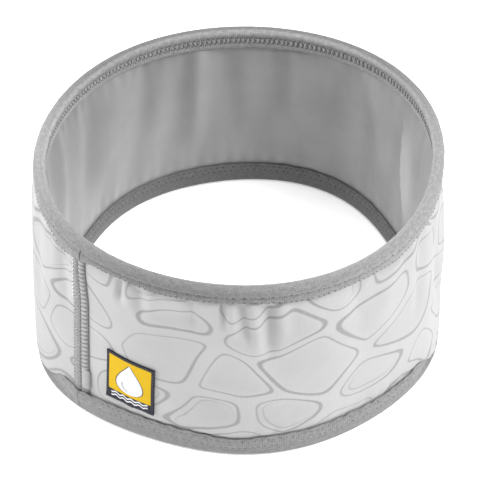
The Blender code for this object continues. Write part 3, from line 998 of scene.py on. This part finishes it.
class BANDANA_OT_bindings(bpy.types.Operator):
    """Builds the folded knit bindings of the top and the bottom edge"""

    bl_idname = "bandana.bindings"
    bl_label = "Bindings"

    def execute(self, context):
        sizes = context.scene.bandana
        half = (sizes.binding_width - sizes.knit_wall) / 2 / MM
        self.top(sizes, half, sizes.knit_wall / MM)
        self.bottom(sizes, half, sizes.knit_wall / MM)
        return {"FINISHED"}

    def bind(self, piece, knit, width, node):
        give_wall(piece, bpy.context.scene.bandana.knit_wall)
        dress(piece, heather_knit(knit, width), "binding_knit", node)

    def top(self, sizes, half, wall):
        """Rolled strip over the top edge, longer inside at the back."""
        piece, u, v = flat_cloth("upper_binding", 520, 40)
        join = 0.02 + 0.14 * smooth_step((v - 0.62) / 0.15)
        angle = TOP_JOIN_ANGLE + join + (360.0 - 2.0 * join) * u
        half = half - thinning(angle) / 2
        longer = BACK_LEG_LONGER * bump(wrapped(angle - 180.0), 50.0)
        inner = sizes.top_inner_leg / MM + longer + 0.12 * wander(angle, 60, 21)
        outer = BAND_HEIGHT - upper_edge(angle) + 0.22 * wander(angle, 55, 12)
        outward, depth, outside = strip_path(v, outer, inner, half, wall)
        raised = np.where(outside, 0.0, inner_rise(angle))
        rows = (TOP_NEEDLE_DEPTH - raised,
                np.where(outside, outer - EDGE_ROW_INSET, TOP_SECOND_DEPTH - raised))
        give = pressed_leg(depth, np.where(outside, outer, inner), rows, (0.32, 0.20))
        give = give * (1.0 + 0.35 * wander(angle, 110, 13))
        stands = 0.22 * bump(depth - 1.7, 1.1) * (1.0 + 0.25 * wander(angle, 40, 14))
        stands = stands + over_seam(angle, depth, 2.6, 1.2) * outside
        outward = outward * (1.0 + (stands - give) / half) + thinning(angle) / 2
        # The tone fact paints light and shade on the strip.
        shape_cloth(piece, place(angle, BAND_HEIGHT - depth, outward), {
            "pressed": smooth_step((depth - TOP_NEEDLE_DEPTH + raised) / 0.8),
            "tone": self.top_painted_light_and_shade(angle, outward)})
        self.bind(piece, "upper_knit", TOP_STRIP_WIDTH, "top_binding")

    def top_painted_light_and_shade(self, angle, outward):
        """Painted light and shade of the top strip: darker front left and at the back, paler
        inside.
        """
        front = bump(wrapped(angle + 22.0), 46.0)
        inside = 1.0 - smooth_step((outward + 1.3) / 1.0)
        left = np.clip(-np.sin(np.radians(angle)), 0.0, None) ** 6
        back = smooth_step((np.abs(wrapped(angle)) - 88.0) / 50.0) * (1.0 - 0.55 * inside)
        return (1.15 - 0.42 * front + 0.14 * left - 0.56 * back) * (1.0 + 0.38 * inside)

    def bottom(self, sizes, half, wall):
        """Strip folded under the bottom edge, flat where the band stands on it."""
        piece, u, v = flat_cloth("lower_binding", 520, 40)
        angle = LOWER_JOIN_ANGLE + 0.10 + 359.80 * u
        inner = sizes.bottom_inner_leg / MM + 0.12 * wander(angle, 60, 22)
        outer = lower_edge(angle) + 0.18 * wander(angle, 55, 15)
        outward, depth, outside = strip_path(v, outer, inner, half, wall)
        rows = [np.where(outside, outer - below, above)
                for below, above in zip(BOTTOM_OUTER_ROWS, BOTTOM_INNER_ROWS)]
        give = pressed_leg(depth, np.where(outside, outer, inner), rows, (0.18, 0.18))
        give = give * (1.0 + 0.35 * wander(angle, 110, 16))
        under_sag = sagging(angle, "press") * smooth_step((depth - 1.8) / 1.5)
        stands = (over_seam(angle, depth, 4.0, 2.0) - under_sag) * outside
        outward = outward * (1.0 + (stands - give) / half)
        # The tone fact paints shade on the inner side of the strip: darker inside.
        shape_cloth(piece, place(angle, np.maximum(depth - 0.35, wall / 2), outward), {
            "pressed": smooth_step((depth - rows[1] + 0.5) / 0.8),
            "tone": 0.57 + 0.41 * smooth_step((outward + 1.6) / 0.8)})
        self.bind(piece, "lower_knit", BOTTOM_STRIP_WIDTH, "bottom_binding")


# A row round the band: height is a function of the angle, an outward distance below 0 is
# inside, pitch counts in stitch lengths, and fill and shift are shares of a stitch
StitchRow = namedtuple(
    "StitchRow", "name height outward thread thickness pitch fill rise shift",
    defaults=(1.1, 0.5, 0.0, 0.0))


def level(height):
    """A row that keeps its height."""
    return lambda angle: height + 0.0 * angle


def inner_top(depth):
    """A row inside the top binding, higher at the sides."""
    return lambda angle: BAND_HEIGHT - depth + inner_rise(angle)


def under_edge(depth):
    """A row below the upper edge of the bottom binding."""
    return lambda angle: lower_edge(angle) - depth


class BANDANA_OT_edge_stitching(bpy.types.Operator):
    """Sews the rows of stitches along both bindings, outside and inside"""

    bl_idname = "bandana.edge_stitching"
    bl_label = "Edge stitching"

    def execute(self, context):
        for row in self.rows(context.scene.bandana_print.thread):
            self.sew_row(row, context.scene.bandana.stitch_pitch * row.pitch)
        return {"FINISHED"}

    def sew_row(self, row, pitch):
        """Sews a row, but not where the shell sags over it."""
        angle, step = round_row(pitch)
        angle = angle + row.shift * step
        inside, upper = row.outward < 0.0, row.height(angle) > BAND_HEIGHT / 2
        outward = row.outward + (inside & upper) * thinning(angle)
        bare = upper | inside | (sagging(angle, "press") < 0.1)
        angle, outward = angle[bare], outward[bare]
        first, last = angle - 0.5 * row.fill * step, angle + 0.5 * row.fill * step
        starts = place(first, row.height(first) - row.rise / 2, outward)
        ends = place(last, row.height(last) + row.rise / 2, outward)
        facing = outward_normal(angle) * (-1.0 if inside else 1.0)
        piece = sew(row.name, starts, ends, facing, row.thickness * MM, 0.12 * MM)
        dress(piece, row.thread, "binding_knit")

    def rows(self, thread):
        """Every row of the edge sewing."""
        dark = sewing_thread("dark_thread", thread)
        soft = sewing_thread("grey_thread", thread, 2.2)
        pale = sewing_thread("pale_thread", thread, 10.0)
        between = (TOP_NEEDLE_DEPTH + TOP_SECOND_DEPTH) / 2
        rung = TOP_SECOND_DEPTH - TOP_NEEDLE_DEPTH - 0.3
        outer_rows = [under_edge(depth) for depth in BOTTOM_OUTER_ROWS]
        inner_rows = [level(depth) for depth in BOTTOM_INNER_ROWS]
        return [StitchRow(*row) for row in (
            ("upper_needle_stitches", level(BAND_HEIGHT - TOP_NEEDLE_DEPTH), 2.2, soft, 0.34),
            ("upper_edge_stitches", lambda angle: upper_edge(angle) + EDGE_ROW_INSET, 2.28,
             soft, 0.34),
            ("upper_inner_needle_stitches", inner_top(TOP_NEEDLE_DEPTH), -2.20, dark, 0.45),
            ("upper_inner_second_stitches", inner_top(TOP_SECOND_DEPTH), -2.30, dark, 0.45,
             1.1, 0.5, 0.0, 0.5),
            ("upper_dark_rungs", inner_top(between), -2.42, dark, 0.42, 1.1, 0.34, rung, 0.25),
            ("upper_pale_rungs", inner_top(between), -2.48, pale, 0.46, 1.1, 0.34, -rung, 0.75),
            ("lower_needle_stitches", outer_rows[0], 2.30, soft, 0.34, 1.25),
            ("lower_second_stitches", outer_rows[1], 2.32, soft, 0.34, 1.25, 0.5, 0.0, 0.5),
            ("lower_inner_needle_stitches", inner_rows[0], -2.32, dark, 0.5, 1.3),
            ("lower_inner_second_stitches", inner_rows[1], -2.36, dark, 0.66, 1.3, 0.6, 0.0,
             0.5),
        )]


# Seam tape: two ribs side by side. Distances across it are from the groove between them,
# and the tape narrows and leans a little to the left towards the top.
TAPE_GROOVE_ANGLE = -47.35
TAPE_TOP_LEAN = -1.05
TAPE_NARROWS = (50.0, 18.0)
TAPE_SIDES = (3.35, 3.75)
TAPE_NARROWING = (1.2, 0.25)
TAPE_RIB = 0.45
TAPE_TUCK = 1.4
TAPE_LIFT = 0.72
TAPE_WALL = 0.8
TAPE_FLAT = (10.0, 62.0)
ROPE_PITCH = 1.9
EDGE_DOT_PITCH = 1.65
CHAIN_PITCH = 1.35
WHITE_STITCH_FROM = 52.0
BAR_TACK = (11.5, 20.0)
BAR_TACK_PITCH = 0.42


def narrowing(height):
    """0 along most of the tape, and 1 at its top."""
    return smooth_step((height - TAPE_NARROWS[0]) / TAPE_NARROWS[1])


def tape_point(side, height, lift=0.0):
    """Angle, height and outward distance on the tape, side -1 at its left and 1 at its right."""
    narrow = narrowing(height)
    reach = np.where(side < 0.0, TAPE_SIDES[0] - TAPE_NARROWING[0] * narrow,
                     TAPE_SIDES[1] - TAPE_NARROWING[1] * narrow)
    across = side * reach
    angle = TAPE_GROOVE_ANGLE + TAPE_TOP_LEAN * narrow + np.degrees(across / MEAN_RADIUS)
    rib = TAPE_RIB * np.abs(np.sin(math.pi * side)) ** 0.8
    return angle, height, shell_offset(angle, height) + TAPE_LIFT + rib + lift


class BANDANA_OT_seam_tape(bpy.types.Operator):
    """Builds the ribbed tape over the closing seam, with its loops and stitches"""

    bl_idname = "bandana.seam_tape"
    bl_label = "Seam tape"

    def execute(self, context):
        self.tape()
        colours = context.scene.bandana_print
        loops = sewing_thread("loop_thread", colours.knit, 1.55, 0.15)
        dark = sewing_thread("seam_dark_thread", colours.thread)
        edge = sewing_thread("seam_edge_thread", colours.thread, 3.0)
        white = sewing_thread("white_thread", (0.75, 0.75, 0.75), 1.0, 0.1)
        satin = sewing_thread("tack_thread", colours.knit, 1.5, 0.1)
        fleck = sewing_thread("fleck_thread", colours.knit, 1.5, 0.35)
        low, high = (float(leg(np.array(SEAM_ANGLE))) for leg in (lower_edge, upper_edge))
        rope = np.arange(BAR_TACK[1], high - 0.5, ROPE_PITCH)
        chain = np.arange(low + 0.5, high - 0.5, CHAIN_PITCH)
        dots = np.arange(low + 0.5, high - 0.3, EDGE_DOT_PITCH)
        above = np.arange(WHITE_STITCH_FROM, high - 0.3, EDGE_DOT_PITCH)
        tack = np.arange(*BAR_TACK, BAR_TACK_PITCH)
        slant = 1.4 - 0.9 * narrowing(rope)
        for column in (
            ("tape_rope_loops", loops, rope, (0.08, 1.02), slant, 1.35, 0.62),
            ("tape_left_chain", fleck, chain, (-0.80, -0.56), -0.2, 0.4, 0.22),
            ("tape_right_chain", fleck, chain, (-0.54, -0.30), 1.1, 0.4, 0.22),
            ("tape_right_dots", edge, dots, (1.06, 1.07), 0.75, 0.34, 0.14),
            ("tape_middle_dots", dark, dots, (-0.04, -0.03), 0.95, 0.42, 0.1),
            ("tape_left_dots", dark, dots, (-0.96, -0.95), 0.85, 0.42, 0.12),
            ("tape_white_stitches", white, above, (-1.12, -1.10), 0.95, 0.32, 0.25),
            ("tape_bar_tack", satin, tack, (0.02, 1.32), 0.9, 0.55, 0.6),
        ):
            self.column(*column)
        return {"FINISHED"}

    def tape(self):
        """The tape itself, its ends tucked under both bindings."""
        piece, u, v = flat_cloth("ribbed_tape", 28, 150)
        side = 2.0 * u - 1.0
        angle = TAPE_GROOVE_ANGLE + 3.0 * side
        low, high = lower_edge(angle) - TAPE_TUCK, upper_edge(angle) + TAPE_TUCK
        points = place(*tape_point(side, low + (high - low) * v, -TAPE_WALL / 2))
        shape_cloth(piece, points, {"side": side})
        give_wall(piece, TAPE_WALL * MM)
        dress(piece, tape_knit(), "tape_knit", "seam_tape")

    def column(self, name, thread, heights, sides, rise, thickness, bow):
        """A column of like stitches up the tape, each from one side of it to another."""
        start, end = (side + 0.0 * heights for side in sides)
        starts, ends = place(*tape_point(start, heights)), place(*tape_point(end, heights + rise))
        facing = outward_normal(TAPE_GROOVE_ANGLE + 0.0 * heights)
        piece = sew(name, starts, ends, facing, thickness * MM, bow * MM, 8, 7)
        dress(piece, thread, "tape_knit")


# Label, in millimetres from its middle
LABEL_ANGLE = -30.3
LABEL_MIDDLE_HEIGHT = 25.6
LABEL_TURN = 3.0
LABEL_LIFT = 0.75
LABEL_BORDER = 1.15
LABEL_STRIP = 4.9
DROP_BOTTOM = -5.7
DROP_TOP = 9.0
DROP_HALF_WIDTH = 5.3
LABEL_WALL = 0.6
LABEL_STITCH = 0.85
LABEL_STITCH_PITCH = 1.5
LABEL_STITCH_INSET = 0.55


class BANDANA_OT_label(bpy.types.Operator):
    """Builds the woven label with a water drop, and sews it on"""

    bl_idname = "bandana.label"
    bl_label = "Label"

    def execute(self, context):
        label = context.scene.bandana_label
        width, height = label.width / MM, label.height / MM
        piece, u, v = flat_cloth("woven_label", 84, 100)
        across, up = width * (u - 0.5), height * (v - 0.5)
        corner = bump(np.abs(across) - width / 2, 2.0) * bump(np.abs(up) - height / 2, 2.0)
        shape_cloth(piece, self.on_shell(across, up, LABEL_LIFT + 0.25 * corner),
                    self.facts(across, up, width, height))
        give_wall(piece, LABEL_WALL * MM)
        dress(piece, woven_label(width, height), "label_weave", "label")
        self.stitches(width, height)
        return {"FINISHED"}

    def on_shell(self, across, up, lift):
        """Points of the label on the shell, its upper edge turned a little to the right."""
        turn = math.radians(LABEL_TURN)
        along = across * math.cos(turn) + up * math.sin(turn)
        angle = LABEL_ANGLE + np.degrees(along / MEAN_RADIUS)
        height = LABEL_MIDDLE_HEIGHT + up * math.cos(turn) - across * math.sin(turn)
        return place(angle, height, shell_offset(angle, height) + lift)

    def facts(self, across, up, width, height):
        """Where the border, the drop, its shine and the ripples lie."""
        inset = np.minimum(width / 2 - np.abs(across), height / 2 - np.abs(up))
        strip = LABEL_STRIP - height / 2 - up
        along = np.clip((up - DROP_BOTTOM) / (DROP_TOP - DROP_BOTTOM), 0.0, 1.0)
        outline = along ** 0.5 * (1.0 - along) ** 1.2 / 0.357
        drop = DROP_HALF_WIDTH * outline - np.abs(across)
        drop = np.where((along <= 0.0) | (along >= 1.0), -2.0, drop)
        from_heart = np.hypot(across, up + 1.5)
        lower_left = (across < -0.6) & (up < -0.6)
        shine = np.where(lower_left, 0.30 - np.abs(from_heart - 2.9), -1.0)
        middle = LABEL_STRIP / 2 + LABEL_BORDER / 2 - height / 2
        wave = 0.4 * np.sin(across * 2.0)
        ripple = 0.34 - np.minimum(np.abs(up - middle - 0.75 - wave),
                                   np.abs(up - middle + 0.75 - wave))
        ripple = np.where(np.abs(across) < width / 2 - 2.2, ripple, -1.0)
        return {"border_mm": np.maximum(LABEL_BORDER - inset, strip), "drop_mm": drop,
                "shine_mm": shine, "ripple_mm": ripple}

    def stitches(self, width, height):
        """Fine running stitches inside the label's edge."""
        wide, high = width / 2 - LABEL_STITCH_INSET, height / 2 - LABEL_STITCH_INSET
        starts, ends = [], []
        for side in (-1.0, 1.0):
            for along in np.arange(0.4 - wide, wide - 0.6, LABEL_STITCH_PITCH):
                starts.append((along, side * high))
                ends.append((along + LABEL_STITCH, side * high))
            for along in np.arange(0.4 - high, high - 0.6, LABEL_STITCH_PITCH):
                starts.append((side * wide, along))
                ends.append((side * wide, along + LABEL_STITCH))
        starts, ends = (self.on_shell(*np.array(points).T, LABEL_LIFT + 0.36)
                        for points in (starts, ends))
        facing = outward_normal(LABEL_ANGLE + np.zeros(len(starts)))
        piece = sew("label_stitches", starts, ends, facing, 0.26 * MM, 0.05 * MM)
        dress(piece, sewing_thread("label_thread", (0.05, 0.05, 0.06)), "label_weave")


class BANDANA_OT_stage(bpy.types.Operator):
    """Sets the floor, the soft lights and the camera"""

    bl_idname = "bandana.stage"
    bl_label = "Studio"

    def execute(self, context):
        stage = context.scene.bandana_stage
        self.floor()
        self.sky(context, stage)
        self.light("left_light", (-1.27, 0.11, 0.68), 0.9, stage.left_power)
        self.light("right_light", (0.95, -0.38, 1.02), 0.8, stage.right_power)
        self.light("top_light", (0.0, 0.05, 1.3), 0.9, stage.top_power)
        self.camera(context, stage)
        context.scene.view_settings.view_transform = "Standard"
        return {"FINISHED"}

    def floor(self):
        """Wide round floor."""
        clear_selection()
        bpy.ops.mesh.primitive_circle_add(vertices=96, radius=4.0, fill_type="NGON")
        floor = bpy.context.object
        floor.name = "studio_floor"
        floor.data.materials.append(studio_floor())

    def sky(self, context, stage):
        """Even pale light from all round."""
        world = bpy.data.worlds.new("studio_sky")
        world.use_nodes = True
        background = world.node_tree.nodes["Background"]
        background.inputs["Color"].default_value = (1.0, 1.0, 1.0, 1.0)
        background.inputs["Strength"].default_value = stage.sky
        context.scene.world = world

    def light(self, name, spot, size, power):
        """A large soft square light that faces the middle of the band."""
        clear_selection()
        bpy.ops.object.light_add(type="AREA", location=spot)
        light = bpy.context.object
        light.name = name
        light.data.shape = "SQUARE"
        light.data.size = size
        light.data.energy = power
        middle = Vector((0.0, 0.0, BAND_HEIGHT * MM / 2))
        light.rotation_euler = (middle - Vector(spot)).to_track_quat("-Z", "Y").to_euler()

    def camera(self, context, stage):
        """Camera at the photograph's angle."""
        clear_selection()
        target = Vector((0.9, -3.9, 36.85)) * MM
        away = Vector((0.0, -math.cos(stage.elevation), math.sin(stage.elevation)))
        bpy.ops.object.camera_add(location=target + away * stage.distance)
        camera = bpy.context.object
        camera.name = "studio_camera"
        camera.data.lens = stage.lens
        camera.data.sensor_width = 36.0
        look = (-away).to_track_quat("-Z", "Y") @ Quaternion((0.0, 0.0, 1.0), -stage.roll)
        camera.rotation_euler = look.to_euler()
        context.scene.camera = camera


class BANDANA_PT_panel(bpy.types.Panel):
    """Lists the pieces and their settings in the sidebar"""

    bl_idname = "BANDANA_PT_panel"
    bl_label = "Cooling bandana"
    bl_space_type = "VIEW_3D"
    bl_region_type = "UI"
    bl_category = "Bandana"

    def draw(self, context):
        layout = self.layout
        for operator in OPERATORS:
            layout.operator(operator.bl_idname)
        for group in SETTINGS:
            settings = getattr(context.scene, group)
            for name in settings.__annotations__:
                layout.prop(settings, name)


SETTINGS = {
    "bandana": BandSettings,
    "bandana_print": PrintSettings,
    "bandana_label": LabelSettings,
    "bandana_stage": StageSettings,
}
OPERATORS = (
    BANDANA_OT_stage,
    BANDANA_OT_shell,
    BANDANA_OT_lining,
    BANDANA_OT_bindings,
    BANDANA_OT_edge_stitching,
    BANDANA_OT_seam_tape,
    BANDANA_OT_label,
)


def register():
    for name, group in SETTINGS.items():
        bpy.utils.register_class(group)
        setattr(bpy.types.Scene, name, bpy.props.PointerProperty(type=group))
    for operator in OPERATORS:
        bpy.utils.register_class(operator)
    bpy.utils.register_class(BANDANA_PT_panel)


def unregister():
    bpy.utils.unregister_class(BANDANA_PT_panel)
    for operator in reversed(OPERATORS):
        bpy.utils.unregister_class(operator)
    for name, group in reversed(SETTINGS.items()):
        delattr(bpy.types.Scene, name)
        bpy.utils.unregister_class(group)


def main():
    """Builds every piece."""
    register()
    bpy.ops.bandana.stage()
    bpy.ops.bandana.shell()
    bpy.ops.bandana.lining()
    bpy.ops.bandana.bindings()
    bpy.ops.bandana.edge_stitching()
    bpy.ops.bandana.seam_tape()
    bpy.ops.bandana.label()


if __name__ == "__main__":
    main()
